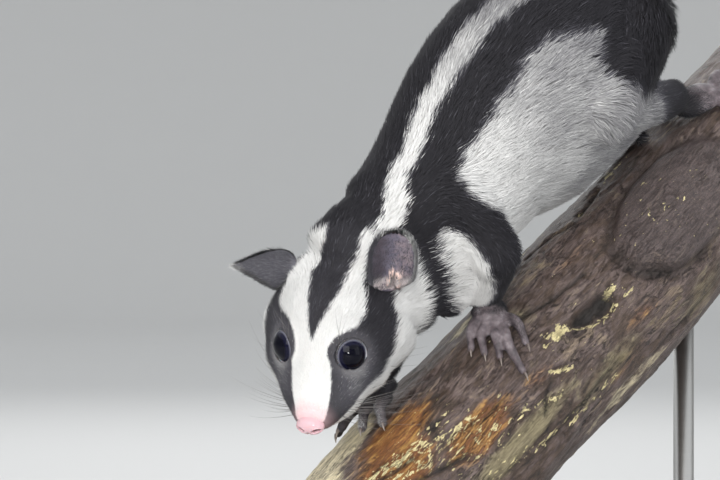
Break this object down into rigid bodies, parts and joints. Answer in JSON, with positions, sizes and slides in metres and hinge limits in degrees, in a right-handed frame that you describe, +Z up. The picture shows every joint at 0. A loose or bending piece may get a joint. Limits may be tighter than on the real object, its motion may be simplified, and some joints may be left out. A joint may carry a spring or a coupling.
{
  "type": "striped possum museum model",
  "caption": "Still life-size striped possum climbing head first down a cut length of branch, bushy tail hanging, on a flat base with short rods.",
  "frame": {"origin": "middle of the base's footprint, on the surface it stands on", "axes": "+Z up, +X from the animal's head end of the branch to its tail end, +Y to the animal's right"},
  "size_m": [0.3838, 0.15, 0.3669],
  "materials": {
    "coat": "soft black fur with white and grey stripes",
    "pale_coat": "soft white fur",
    "ear_skin": "thin grey skin with fine short fur",
    "nose_skin": "bare moist pink skin",
    "paw_skin": "bare mauve-grey skin, bone-coloured claws",
    "eye": "glossy black",
    "bark": "rough brown bark, worn and mottled",
    "stand_base": "dark stained wood, satin",
    "stand_rod": "satin"
  },
  "bodies": {
    "root": {"head": "coat", "neck": "coat", "torso": "coat", "nose": "nose_skin", "ear_left": "ear_skin", "ear_right": "ear_skin", "eye_left": "eye", "eye_right": "eye", "upper_arm_left": "coat", "upper_arm_right": "coat", "forearm_left": "coat", "forearm_right": "coat", "hand_left": "paw_skin", "hand_right": "paw_skin", "thigh_left": "coat", "thigh_right": "coat", "shin_left": "coat", "shin_right": "coat", "foot_left": "paw_skin", "foot_right": "paw_skin", "tail_base": "coat", "tail_middle": "coat", "tail_tip": "pale_coat", "perch_log": "bark", "stand_rod_lower": "stand_rod", "stand_rod_upper": "stand_rod", "stand_base": "stand_base"}
  },
  "joints": []
}
